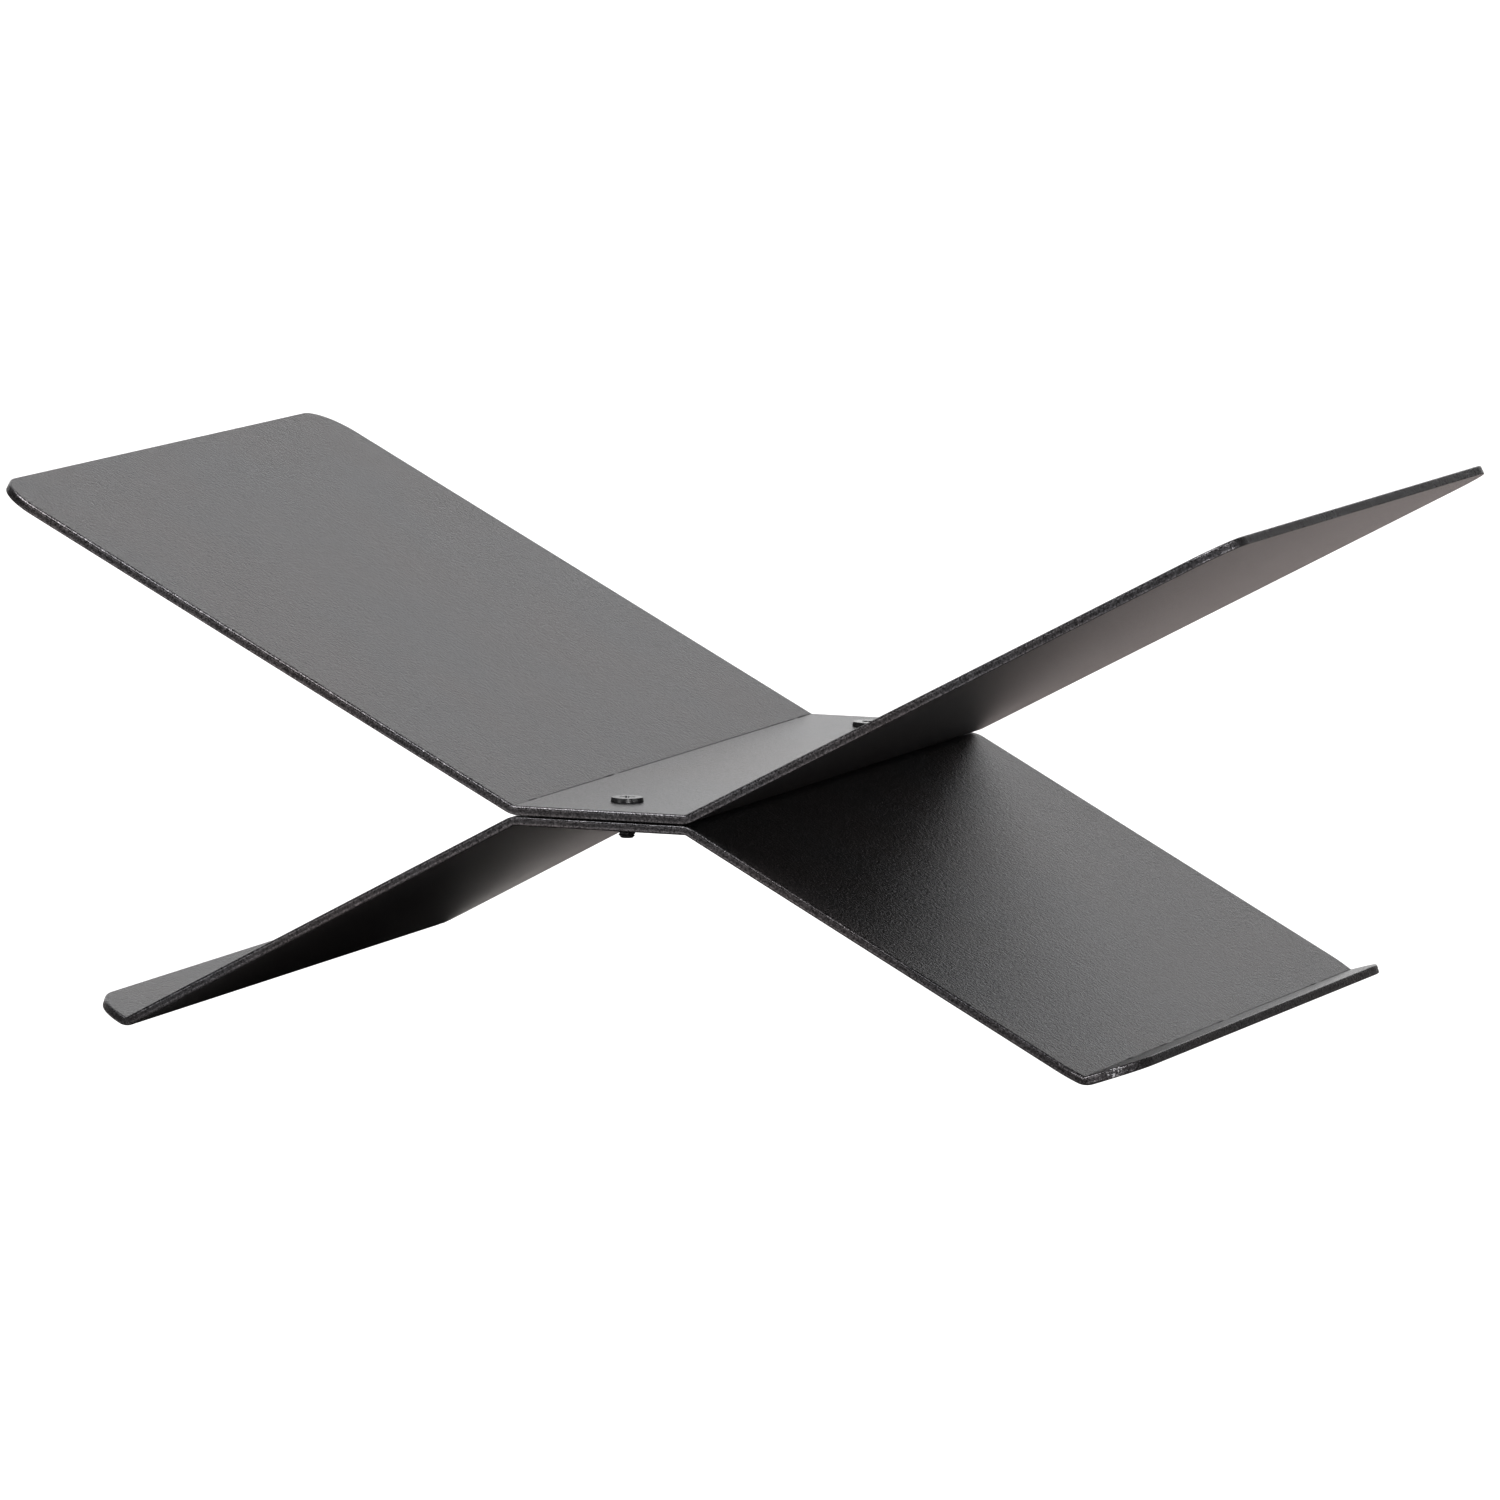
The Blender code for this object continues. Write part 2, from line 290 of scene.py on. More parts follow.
def edge_rows(burr_side, roll_inset, roll_drop):
    burr = [(burr_side, inset, lift) for inset, lift in burr_rows()]
    roll = [(-burr_side, inset, lift) for inset, lift in quarter(roll_inset, roll_drop)]
    middle = [(None, 0.0, w) for w in (0.40, 0.52, 0.66)]
    if burr_side > 0:
        return burr + middle + roll[::-1]
    middle = [(None, 0.0, 1 - w) for _, _, w in middle]
    return roll + middle[::-1] + burr[::-1]


def hole_rows():
    lip = [(0.40, 0.0), (0.16, -0.05), (0.04, -0.15), (0.0, -0.32)]
    top = [(1, inset, lift) for inset, lift in lip]
    low = [(-1, inset, lift) for inset, lift in lip]
    return top + [(None, 0.0, w) for w in (0.35, 0.5, 0.65)] + low[::-1]


# ---------------------------------------------------------------- sheets


class Skin:
    """Collects a sheet's points and faces in its flat (t, v) plane."""

    def __init__(self, section, worn=None):
        self.section, self.worn = section, worn
        self.points, self.normals, self.exact = [], [], []
        self.rim, self.press, self.chip, self.faces = [], [], [], []
        self.count = 0

    def add(self, points, normals, exact, rim):
        first = self.count
        self.points.append(points)
        self.normals.append(normals)
        self.exact.append(np.full(len(points), exact))
        self.rim.append(np.full(len(points), float(rim)))
        self.press.append(np.zeros(len(points)))
        self.chip.append(np.zeros(len(points)))
        self.count += len(points)
        return np.arange(first, self.count)

    def place(self, flat, side):
        p, n = self.section.surface(flat[:, 0], side)
        point = np.stack([p[:, 0], flat[:, 1], p[:, 1]], 1)
        normal = np.stack([n[:, 0], np.zeros(len(n)), n[:, 1]], 1)
        return point, normal

    def edge(self, loop, outward, rows, lumps, at_ends=1.0):
        """The rows of points round one edge, with the roundings scaled at the two
        ends. It returns the first and last row's indices and where they lie in the
        flat plane."""
        made, flats = [], []
        last = len(rows) - 1
        scale = (1 - (1 - at_ends) * outward[:, :1] ** 2)
        for j, (face, inset, value) in enumerate(rows):
            flat = loop - outward * inset * scale
            if face is None:
                top, n_top = self.place(flat, 1)
                low, _ = self.place(flat, -1)
                point, normal = top * (1 - value) + low * value, n_top
            else:
                point, normal = self.place(flat, face)
                point = point + normal * value * scale
            outer = j in (0, last)
            inside = min(j, last - j)
            rim = 0.5 if face is None else min(1.0, max(0, inside - 1) / 3)
            point = point.copy()
            if not outer and lumps:
                point += lumps(point, flat, outward, normal, min(1.0, inside / 5))
            made.append(self.add(point, normal, outer, 0.0 if outer else rim))
            # The knocked corner's mask also sets bright specks in the coat's colour: bare-steel wear,
            # and painted glint as well.
            if self.worn is not None and lumps:
                self.chip[-1] = self.worn(flat) * (0.0 if outer else 1.0)
            flats.append(flat)
        n = len(loop)
        for upper, lower in zip(made, made[1:]):
            a, b = upper, np.roll(upper, -1)
            c, d = np.roll(lower, -1), lower
            self.faces += np.stack([a, d, c, b], 1).tolist()
        assert n == len(made[0])
        return made[0], flats[0], made[-1], flats[-1]

    def face(self, side, loops, inside, offset):
        """Fills a face between its edge loops, with extra points inside it."""
        coords = [flat for _, flat in loops]
        indices = [index for index, _ in loops]
        borders, at = [], 0
        for flat in coords:
            n = len(flat)
            borders += [(at + i, at + (i + 1) % n) for i in range(n)]
            at += n
        border_index = np.concatenate(indices)
        everything = np.concatenate(coords + [inside])
        got = delaunay_2d_cdt(
            [Vector(p) for p in everything.tolist()], borders, [], 0, 1e-5, True
        )
        made_2d = np.array([tuple(p) for p in got[0]])
        origin = got[3]
        lookup = np.full(len(made_2d), -1)
        fresh = []
        for i, came in enumerate(origin):
            known = [c for c in came if c < at]
            if known:
                lookup[i] = border_index[known[0]]
            else:
                fresh.append(i)
        if fresh:
            flat = made_2d[fresh]
            point, normal = self.place(flat, side)
            shift, touched = offset(flat, side)
            point = point + normal * shift[:, None]
            index = self.add(point, normal, True, 0.0)
            self.exact[-1] = ~touched
            self.press[-1] = np.clip(np.abs(shift) / 0.12, 0.0, 1.0)
            lookup[fresh] = index
        centres = [(flat.mean(0), np.abs(flat - flat.mean(0)).max()) for _, flat in loops[1:]]
        for tri in got[2]:
            middle = made_2d[list(tri)].mean(0)
            if any(np.hypot(*(middle - c)) < r for c, r in centres):
                continue
            a = [int(lookup[i]) for i in tri]
            self.faces.append(a if side > 0 else a[::-1])


def lumpy(seed, strength, worn):
    """Lumps of powder coat on a cut edge, larger where it is worn."""

    def lumps(point, flat, outward, normal, share):
        n = len(point)
        push, lift = np.zeros(n), np.zeros(n)
        for i in range(n):
            p = Vector(point[i]) + Vector((seed * 31.7, 0.0, seed * 12.3))
            coarse = noise.noise(p * 0.42)
            middle = noise.noise(p * 0.95 + Vector((7.0, 3.0, 1.0)))
            fine = noise.noise(p * 1.7 + Vector((1.0, 9.0, 4.0)))
            push[i] = 0.35 * coarse + 0.7 * middle + 0.55 * fine
            lift[i] = noise.noise(p * 1.1 + Vector((5.0, 2.0, 8.0)))
        if worn is not None:
            more = 1.0 + 1.6 * worn(flat)
            push, lift = push * more, lift * more
        # The outward direction in the flat plane becomes one in space.
        tangent = np.stack([normal[:, 2], np.zeros(n), -normal[:, 0]], 1)
        away = outward[:, :1] * tangent + outward[:, 1:] * np.array([0.0, 1.0, 0.0])
        return away * (push * strength * share)[:, None] + normal * (
            lift * strength * 0.5 * share
        )[:, None]

    return lumps


def grid(section, bends_fine):
    """Points inside a face: fine lines along the bends, a wide grid between."""
    found = []
    reach = HALF_DEPTH - 1.9
    for bend in section.bends:
        lines = bend.stops()
        step = 1.0 if bends_fine(bend) else 5.0
        count = round(2 * reach / step)
        v = np.linspace(-reach, reach, count + 1)
        around = [lines[0] - 1.2, *lines, lines[-1] + 1.2]
        for t in around:
            for mirrored in (-t, t):
                found.append(np.stack([np.full(len(v), mirrored), v], 1))
    everything = []
    wide = 9.0
    for piece in section.pieces:
        if not isinstance(piece, Flat):
            continue
        low = piece.start + 5.0 if piece.start else 0.0
        high = piece.start + piece.length - 5.0
        if high <= low:
            continue
        count = max(1, round((high - low) / wide))
        for i in range(count + 1):
            t = low + (high - low) * i / count
            for v in np.linspace(-HALF_DEPTH + 6, HALF_DEPTH - 6, 27):
                everything.append((t, v))
                if t:
                    everything.append((-t, v))
    found.append(np.array(everything))
    points = np.concatenate(found)
    # Keep clear of the edge rows, the rounded corners and the holes.
    t, v = np.abs(points[:, 0]), np.abs(points[:, 1])
    keep = (t < section.end - 2.2) & (v < HALF_DEPTH - 1.8)
    r = section.corner_radius
    ct, cv = section.end - r, HALF_DEPTH - r
    keep &= ~((t > ct) & (v > cv)) | (np.hypot(t - ct, v - cv) < r - 1.9)
    keep &= np.hypot(t, v - SCREW_SPACING / 2) > 4.5
    return points[keep]


def window(v, low, high, soft=0.35):
    """1 between two places along a bend and 0 outside them."""
    return 1 / (1 + np.exp(np.clip(-(v - low) / soft, -40, 40))) / (
        1 + np.exp(np.clip((v - high) / soft, -40, 40))
    )


class Line:
    """The line that the press tool leaves along the inside of a bend. Where two of
    its segments meet there is a short deep nick and then a gap."""

    def __init__(self, bend, depth, faint, nicks, gaps):
        self.bend, self.depth, self.faint, self.nicks, self.gaps = bend, depth, faint, nicks, gaps

    def shift(self, flat):
        across = np.abs(flat[:, 0]) - self.bend.crease
        v = flat[:, 1]
        depth = np.full(len(v), self.depth)
        for low, high in self.faint:
            depth *= 1 - 0.6 * window(v, low, high)
        for low, high in self.gaps:
            depth *= 1 - window(v, low, high)
        width = np.full(len(v), 0.20)
        for low, high in self.nicks:
            inside = window(v, low, high)
            depth += inside * 0.03
            width += inside * 0.07
        return -depth * np.exp(-((across / width) ** 2))


def pressed(lines):
    def offset(flat, side):
        shift = np.zeros(len(flat))
        for line in lines:
            if line.bend.sign == side:
                shift += line.shift(flat)
        return shift, np.abs(shift) > 1e-4

    return offset


def make_sheet(name, section, burr_side, roll, hole_radius, lines, seed, lump, worn=None):
    skin = Skin(section, worn)
    loop, outward = outline(section)
    first, first_flat, last, last_flat = skin.edge(
        loop, outward, edge_rows(burr_side, *roll), lumpy(seed, lump, worn), 0.45
    )
    tops, lows = [(first, first_flat)], [(last, last_flat)]
    for v in (-SCREW_SPACING / 2, SCREW_SPACING / 2):
        ring, inward = circle(v, hole_radius)
        a, a_flat, b, b_flat = skin.edge(ring, inward, hole_rows(), None)
        tops.append((a, a_flat))
        lows.append((b, b_flat))
    offset = pressed(lines)
    skin.face(1, tops, grid(section, lambda b: b.sign > 0), offset)
    skin.face(-1, lows, grid(section, lambda b: b.sign < 0), offset)

    points = np.concatenate(skin.points) * MM
    mesh = bpy.data.meshes.new(name)
    mesh.from_pydata(points.tolist(), [], skin.faces)
    mesh.update()
    mesh.validate()
    mesh.shade_smooth()
    for word, values in (("rim", skin.rim), ("press", skin.press), ("chip", skin.chip)):
        made = mesh.attributes.new(word, "FLOAT", "POINT")
        made.data.foreach_set("value", np.concatenate(values).astype(np.float32))
    worked = np.zeros(len(points) * 3, np.float32)
    mesh.vertex_normals.foreach_get("vector", worked)
    worked = worked.reshape(-1, 3)
    exact = np.concatenate(skin.exact)
    worked[exact] = np.concatenate(skin.normals)[exact]
    mesh.normals_split_custom_set_from_vertices(worked.tolist())
    obj = bpy.data.objects.new(name, mesh)
    bpy.context.scene.collection.objects.link(obj)
    return obj


# ---------------------------------------------------------------- screws


HEAD_RADIUS, HEAD_TOP_RADIUS, HEAD_HEIGHT = 4.8, 4.62, 1.36
THREAD_CREST, THREAD_ROOT, PITCH = 2.45, 2.06, 0.8
SCREW_LENGTH = 10.5
AROUND = 72


def screw_rows():
    """(radius, height over the seat) down the head, as rings."""
    rows = [(r, HEAD_HEIGHT) for r in (0.35, 1.2, 2.2, 3.2, 3.9)]
    for i in range(7):  # worn rounding of the head's rim
        a = math.pi / 2 * i / 6
        rows.append((HEAD_TOP_RADIUS - 0.2 * (1 - math.sin(a)), HEAD_HEIGHT - 0.2 * (1 - math.cos(a))))
    for i in range(1, 5):  # the rim leans in a little
        part = i / 5
        rows.append((HEAD_TOP_RADIUS + 0.2 * part, (HEAD_HEIGHT - 0.2) * (1 - part) + 0.1 * part))
    rows += [(HEAD_RADIUS, 0.1), (HEAD_RADIUS - 0.06, 0.03), (HEAD_RADIUS - 0.2, 0.0)]
    rows += [(4.0, 0.0), (3.2, 0.0), (2.6, 0.0), (THREAD_CREST, -0.06)]
    return rows


def thread_radius(angle, z):
    """Radius of the helical thread, run out under the head and at the tip."""
    phase = (z / PITCH + angle / (2 * math.pi)) % 1.0
    ridge = 1 - abs(2 * phase - 1)
    depth = min(1.0, max(0.0, (ridge - 0.12) / 0.72))
    grow = min(1.0, max(0.0, (-z - 0.7) / 0.8))
    radius = THREAD_CREST - grow * (THREAD_CREST - THREAD_ROOT) * (1 - depth)
    return min(radius, THREAD_CREST - 0.75 + (z + SCREW_LENGTH) * 0.95)


def make_screw(name, y, seat, turn):
    work = bmesh.new()
    rings = []
    for radius, z in screw_rows():
        rings.append([(radius, z)] * AROUND)
    steps = 108
    for j in range(1, steps + 1):
        z = -0.06 - (SCREW_LENGTH - 0.06) * j / steps
        ring = [(thread_radius(2 * math.pi * i / AROUND, z), z) for i in range(AROUND)]
        rings.append(ring)
    rings.append([(1.0, -SCREW_LENGTH)] * AROUND)
    made = []
    for ring in rings:
        made.append(
            [
                work.verts.new(
                    (
                        radius * math.cos(2 * math.pi * i / AROUND),
                        radius * math.sin(2 * math.pi * i / AROUND),
                        z,
                    )
                )
                for i, (radius, z) in enumerate(ring)
            ]
        )
    for upper, lower in zip(made, made[1:]):
        for i in range(AROUND):
            k = (i + 1) % AROUND
            work.faces.new((upper[i], lower[i], lower[k], upper[k]))
    work.faces.new(made[0])
    work.faces.new(made[-1][::-1])
    mesh = bpy.data.meshes.new(name)
    work.to_mesh(mesh)
    work.free()
    screw = bpy.data.objects.new(name, mesh)
    bpy.context.scene.collection.objects.link(screw)

    # The cross recess: two tapered arms with rounded ends, cut one by one.
    cutters = []
    for arm in (0.0, math.pi / 2):
        work = bmesh.new()
        outline = []
        span, width = 2.45, 0.58
        for end in (0.0, math.pi):
            for i in range(9):
                a = end - math.pi / 2 + math.pi * i / 8
                cx = (span - width) * math.cos(end)
                outline.append((cx + width * math.cos(a), width * math.sin(a)))
        levels = []
        for z, across, wide in ((2.2, 1.14, 1.10), (HEAD_HEIGHT, 1.0, 1.0), (0.35, 0.50, 0.74)):
            levels.append([work.verts.new((x * across, v * wide, z)) for x, v in outline])
        count = len(outline)
        for upper, lower in zip(levels, levels[1:]):
            for i in range(count):
                k = (i + 1) % count
                work.faces.new((upper[i], lower[i], lower[k], upper[k]))
        work.faces.new(levels[0])
        work.faces.new(levels[-1][::-1])
        bmesh.ops.recalc_face_normals(work, faces=work.faces)
        bmesh.ops.rotate(work, verts=work.verts, matrix=Matrix.Rotation(arm, 3, "Z"))
        data = bpy.data.meshes.new(name + "_arm")
        work.to_mesh(data)
        work.free()
        arm_object = bpy.data.objects.new(name + "_arm", data)
        bpy.context.scene.collection.objects.link(arm_object)
        cutters.append(arm_object)
        made_cut = screw.modifiers.new("recess", "BOOLEAN")
        made_cut.operation = "DIFFERENCE"
        made_cut.solver = "EXACT"
        made_cut.object = arm_object
    bpy.context.view_layer.update()
    graph = bpy.context.evaluated_depsgraph_get()
    cut = bpy.data.meshes.new_from_object(screw.evaluated_get(graph))
    screw.modifiers.clear()
    screw.data = cut
    bpy.data.meshes.remove(mesh)
    for cutter in cutters:
        data = cutter.data
        bpy.data.objects.remove(cutter, do_unlink=True)
        bpy.data.meshes.remove(data)
    cut.transform(
        Matrix.Translation((0.0, y * MM, seat * MM))
        @ Matrix.Rotation(turn, 4, "Z")
        @ Matrix.Scale(MM, 4)
    )
    cut.shade_smooth()
    cut.set_sharp_from_angle(angle=math.radians(38))
    return screw


# ---------------------------------------------------------------- materials


class Nodes:
    """Short calls for a material's nodes."""

    def __init__(self, name):
        self.material = bpy.data.materials.new(name)
        self.material.use_nodes = True
        self.tree = self.material.node_tree
        self.shader = next(n for n in self.tree.nodes if n.type == "BSDF_PRINCIPLED")

    def link(self, a, b):
        self.tree.links.new(a, b)

    def node(self, kind, **values):
        made = self.tree.nodes.new(kind)
        for key, value in values.items():
            setattr(made, key, value)
        return made

    def position(self):
        return self.node("ShaderNodeTexCoord").outputs["Object"]

    def noise(self, where, scale, detail=2.0, roughness=0.5):
        made = self.node("ShaderNodeTexNoise")
        made.inputs["Scale"].default_value = scale
        made.inputs["Detail"].default_value = detail
        made.inputs["Roughness"].default_value = roughness
        self.link(where, made.inputs["Vector"])
        return made.outputs["Fac"]

    def ramp(self, value, stops):
        made = self.node("ShaderNodeValToRGB")
        elements = made.color_ramp.elements
        while len(elements) < len(stops):
            elements.new(0.5)
        for element, (at, color) in zip(elements, stops):
            element.position = at
            if isinstance(color, (int, float)):
                color = (color, color, color)
            element.color = (*color, 1.0)
        self.link(value, made.inputs["Fac"])
        return made.outputs["Color"]

    def spread(self, value, from_low, from_high, to_low, to_high):
        made = self.node("ShaderNodeMapRange")
        for key, number in (
            ("From Min", from_low),
            ("From Max", from_high),
            ("To Min", to_low),
            ("To Max", to_high),
        ):
            made.inputs[key].default_value = number
        self.link(value, made.inputs["Value"])
        return made.outputs["Result"]

    def math(self, operation, a, b):
        made = self.node("ShaderNodeMath", operation=operation)
        for socket, value in zip(made.inputs, (a, b)):
            if isinstance(value, (int, float)):
                socket.default_value = value
            else:
                self.link(value, socket)
        return made.outputs["Value"]

    def multiply_color(self, a, b):
        made = self.node("ShaderNodeMix", data_type="RGBA", blend_type="MULTIPLY")
        made.inputs["Factor"].default_value = 1.0
        self.link(a, made.inputs["A"])
        self.link(b, made.inputs["B"])
        return made.outputs["Result"]

    def mix_color(self, factor, a, b):
        made = self.node("ShaderNodeMix", data_type="RGBA")
        self.link(factor, made.inputs["Factor"])
        self.link(a, made.inputs["A"])
        made.inputs["B"].default_value = (*b, 1.0)
        return made.outputs["Result"]

    def bump(self, height, strength, distance, normal=None):
        made = self.node("ShaderNodeBump")
        if isinstance(strength, float):
            made.inputs["Strength"].default_value = strength
        else:
            self.link(strength, made.inputs["Strength"])
        made.inputs["Distance"].default_value = distance
        self.link(height, made.inputs["Height"])
        if normal is not None:
            self.link(normal, made.inputs["Normal"])
        return made.outputs["Normal"]


def powder_coat(name, tone):
    """Fine-textured matt black powder coat."""
    m = Nodes(name)
    where = m.position()
    rim = m.node("ShaderNodeAttribute", attribute_name="rim").outputs["Fac"]
    press = m.node("ShaderNodeAttribute", attribute_name="press").outputs["Fac"]
    chip = m.node("ShaderNodeAttribute", attribute_name="chip").outputs["Fac"]
    grain = m.noise(where, 1500.0, 3.0, 0.65)
    coarse = m.noise(where, 900.0, 2.0, 0.5)
    cloud = m.noise(where, 46.0, 3.0, 0.55)
    tint = m.noise(where, 21.0, 2.0, 0.5)
    speckle = m.ramp(grain, [(0.30, 0.25), (0.50, 1.0), (0.60, 2.6), (0.74, 8.0)])
    blotch = m.ramp(coarse, [(0.32, 0.62), (0.68, 1.42)])
    mottle = m.ramp(cloud, [(0.30, 0.90), (0.70, 1.10)])
    hue = m.ramp(
        tint,
        [
            (0.36, (tone * 1.10, tone * 0.97, tone * 1.00)),
            (0.50, (tone * 1.02, tone * 0.98, tone * 1.02)),
            (0.64, (tone * 0.98, tone, tone * 1.08)),
        ],
    )
    color = m.multiply_color(
        m.multiply_color(hue, mottle), m.multiply_color(speckle, blotch)
    )
    # The pressed lines are painted darker: painted shade in their grooves.
    color = m.multiply_color(color, m.ramp(press, [(0.0, 1.0), (0.6, 0.25)]))
    # Bright grey specks at the knocked corner: bare-steel chips, and painted glints where the corner
    # catches the light.
    specks = m.math("MULTIPLY", chip, m.noise(where, 1500.0, 1.0, 0.5))
    color = m.mix_color(m.spread(specks, 0.54, 0.60, 0.0, 1.0), color, (0.30, 0.30, 0.31))
    m.link(color, m.shader.inputs["Base Color"])
    rough = m.spread(grain, 0.3, 0.7, 0.31, 0.39)
    rough = m.math("SUBTRACT", rough, m.math("MULTIPLY", rim, 0.07))
    rough = m.math("ADD", rough, m.math("MULTIPLY", press, 0.45))
    m.link(rough, m.shader.inputs["Roughness"])
    texture = m.spread(rim, 0.5, 1.0, 1.0, 0.4)
    fine = m.bump(grain, texture, 0.00019)
    m.link(m.bump(coarse, texture, 0.00021, fine), m.shader.inputs["Normal"])
    # The coat is smoother and glossier where it has flowed round an arris.
    shine = m.math(
        "SUBTRACT", m.spread(rim, 0.5, 1.0, 0.46, 0.94), m.spread(rim, 0.0, 0.5, 0.0, 0.09)
    )
    dots = m.math(
        "MULTIPLY",
        m.spread(m.noise(where, 2300.0, 2.0, 0.6), 0.32, 0.68, -0.8, 0.8),
        m.spread(rim, 0.0, 0.5, 0.35, 1.0),
    )
    m.link(
        m.math("MULTIPLY", shine, m.math("ADD", 1.0, dots)),
        m.shader.inputs["Specular IOR Level"],
    )
    m.link(
        m.ramp(tint, [(0.36, (1.03, 0.965, 0.995)), (0.64, (0.985, 0.97, 1.03))]),
        m.shader.inputs["Specular Tint"],
    )
    m.shader.inputs["Metallic"].default_value = 0.0
    return m.material


def black_steel(name):
    """Blackened screw steel: satin, slightly uneven."""
    m = Nodes(name)
    where = m.position()
    cloud = m.noise(where, 420.0, 3.0, 0.6)
    grain = m.noise(where, 2600.0, 2.0, 0.6)
    m.link(
        m.multiply_color(
            m.ramp(cloud, [(0.3, (0.008, 0.008, 0.009)), (0.7, (0.016, 0.016, 0.017))]),
            m.ramp(grain, [(0.3, 0.7), (0.7, 1.3)]),
        ),
        m.shader.inputs["Base Color"],
    )
    m.link(m.spread(cloud, 0.3, 0.7, 0.24, 0.34), m.shader.inputs["Roughness"])
    m.link(m.bump(grain, 0.25, 0.00004), m.shader.inputs["Normal"])
    m.shader.inputs["Metallic"].default_value = 0.0
    m.shader.inputs["Specular IOR Level"].default_value = 0.5
    return m.material


def pale_floor():
    """A matt table whose colour is painted: dark under and just behind the stand and a pale pool by
    the left leg, as painted shadow and light for the stand's undersides to reflect. What the camera
    sees of it directly is lifted towards white, as on a light table, so the shadow under the stand
    stays faint."""
    m = Nodes("pale_floor")
    where = m.position()
    away = m.node("ShaderNodeVectorMath", operation="LENGTH")
    from_leg = m.node("ShaderNodeVectorMath", operation="SUBTRACT")
    from_leg.inputs[1].default_value = (-0.125, 0.125, 0.0)
    m.link(where, from_leg.inputs[0])
    m.link(from_leg.outputs["Vector"], away.inputs[0])
    apart = m.node("ShaderNodeSeparateXYZ")
    m.link(where, apart.inputs[0])
    # Painted shadow on the floor: pale in front, dark under and just behind the stand, lighter further
    # back, for the undersides to reflect.
    painted_floor_shade = m.ramp(
        m.spread(apart.outputs["Y"], -0.40, 0.90, 0.0, 1.0),
        [
            (0.15, (0.82, 0.785, 0.765)),
            (0.25, (0.24, 0.225, 0.22)),
            (0.42, (0.265, 0.238, 0.232)),
            (0.55, (0.37, 0.334, 0.325)),
            (0.63, (0.58, 0.522, 0.507)),
            (0.75, (0.51, 0.459, 0.446)),
            (0.92, (0.64, 0.576, 0.560)),
        ],
    )
    # A painted pool of light on the floor by the left leg's back edge.
    painted_light_pool = m.spread(away.outputs["Value"], 0.02, 0.08, 1.0, 0.0)
    m.link(
        m.multiply_color(
            m.mix_color(painted_light_pool, painted_floor_shade, (0.90, 0.85, 0.825)),
            m.ramp(m.noise(where, 1.3, 2.0), [(0.3, 0.98), (0.7, 1.0)]),
        ),
        m.shader.inputs["Base Color"],
    )
    m.shader.inputs["Roughness"].default_value = 0.9
    m.shader.inputs["Specular IOR Level"].default_value = 0.1
    glow = m.node("ShaderNodeEmission")
    glow.inputs["Color"].default_value = (1.0, 1.0, 1.0, 1.0)
    glow.inputs["Strength"].default_value = 1.0
    seen = m.node("ShaderNodeLightPath").outputs["Is Camera Ray"]
    blend = m.node("ShaderNodeMixShader")
    m.link(m.math("MULTIPLY", seen, 0.86), blend.inputs["Fac"])
    m.link(m.shader.outputs["BSDF"], blend.inputs[1])
    m.link(glow.outputs["Emission"], blend.inputs[2])
    output = next(n for n in m.tree.nodes if n.type == "OUTPUT_MATERIAL")
    m.link(blend.outputs["Shader"], output.inputs["Surface"])
    return m.material


# ---------------------------------------------------------------- the object

lower_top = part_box("lower_plate")[1].z / MM
upper_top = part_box("upper_plate")[0].z / MM + THICKNESS

upper_section = Section(
    upper_top,
    [(STRIP_HALF_WIDTH, WING_ANGLE, INNER_BEND_RADIUS, STRIP_BEND_OUTER_RADIUS)],
    WING_LENGTH,
    WING_CORNER_RADIUS,
)
lower_section = Section(
    lower_top,
    [
        (STRIP_HALF_WIDTH, -LEG_ANGLE, INNER_BEND_RADIUS, STRIP_BEND_OUTER_RADIUS),
        (
            LEG_LENGTH - THICKNESS * math.tan(LEG_ANGLE / 2),
            LEG_ANGLE + FOOT_ANGLE,
            FOOT_BEND_INNER_RADIUS,
            FOOT_BEND_OUTER_RADIUS,
        ),
    ],
    FOOT_LENGTH,
    FOOT_CORNER_RADIUS,
)

def right_front_corner(flat):
    """Where the right foot's front corner has knocked against things: larger lumps there, and bright
    specks that are bare-steel wear and painted glint.
    """
    r = FOOT_CORNER_RADIUS
    along = flat[:, 0] - (lower_section.end - r)
    angle = np.degrees(np.arctan2(along, -(flat[:, 1] + HALF_DEPTH - r)))
    here = (flat[:, 0] > 0) & (flat[:, 1] < -HALF_DEPTH + r) & (along > 0)
    return np.where(here, np.exp(-(((angle - 45.0) / 11.0) ** 4)), 0.0)


upper_sheet = make_sheet(
    "upper_sheet",
    upper_section,
    1,
    (0.50, 0.42),
    2.75,
    [
        Line(
            upper_section.bends[0],
            0.075,
            faint=[(-130.0, -112.5)],
            nicks=[(-112.0, -109.8), (-108.5, -106.0), (-50.0, -44.5), (112.0, 118.0)],
            gaps=[(-106.0, -104.5), (-44.0, -40.0), (109.0, 111.5)],
        )
    ],
    1.0,
    0.07,
)
lower_sheet = make_sheet(
    "lower_sheet",
    lower_section,
    -1,
    (0.95, 0.78),
    2.55,
    [
        Line(lower_section.bends[0], 0.075, faint=[], nicks=[(-62.0, -58.0)], gaps=[(-58.0, -54.0)]),
        Line(
            lower_section.bends[1],
            0.065,
            faint=[(-130.0, -86.5)],
            nicks=[(-86.0, -81.0), (-56.0, -50.5), (-4.0, 1.0), (83.0, 88.0)],
            gaps=[(-80.5, -74.5), (-50.0, -45.0), (1.5, 6.0), (88.5, 92.0)],
        ),
    ],
    2.0,
    0.07,
    right_front_corner,
)

coat_upper = powder_coat("coat_upper", 0.006)
coat_lower = powder_coat("coat_lower", 0.006)
steel = black_steel("screw_steel")

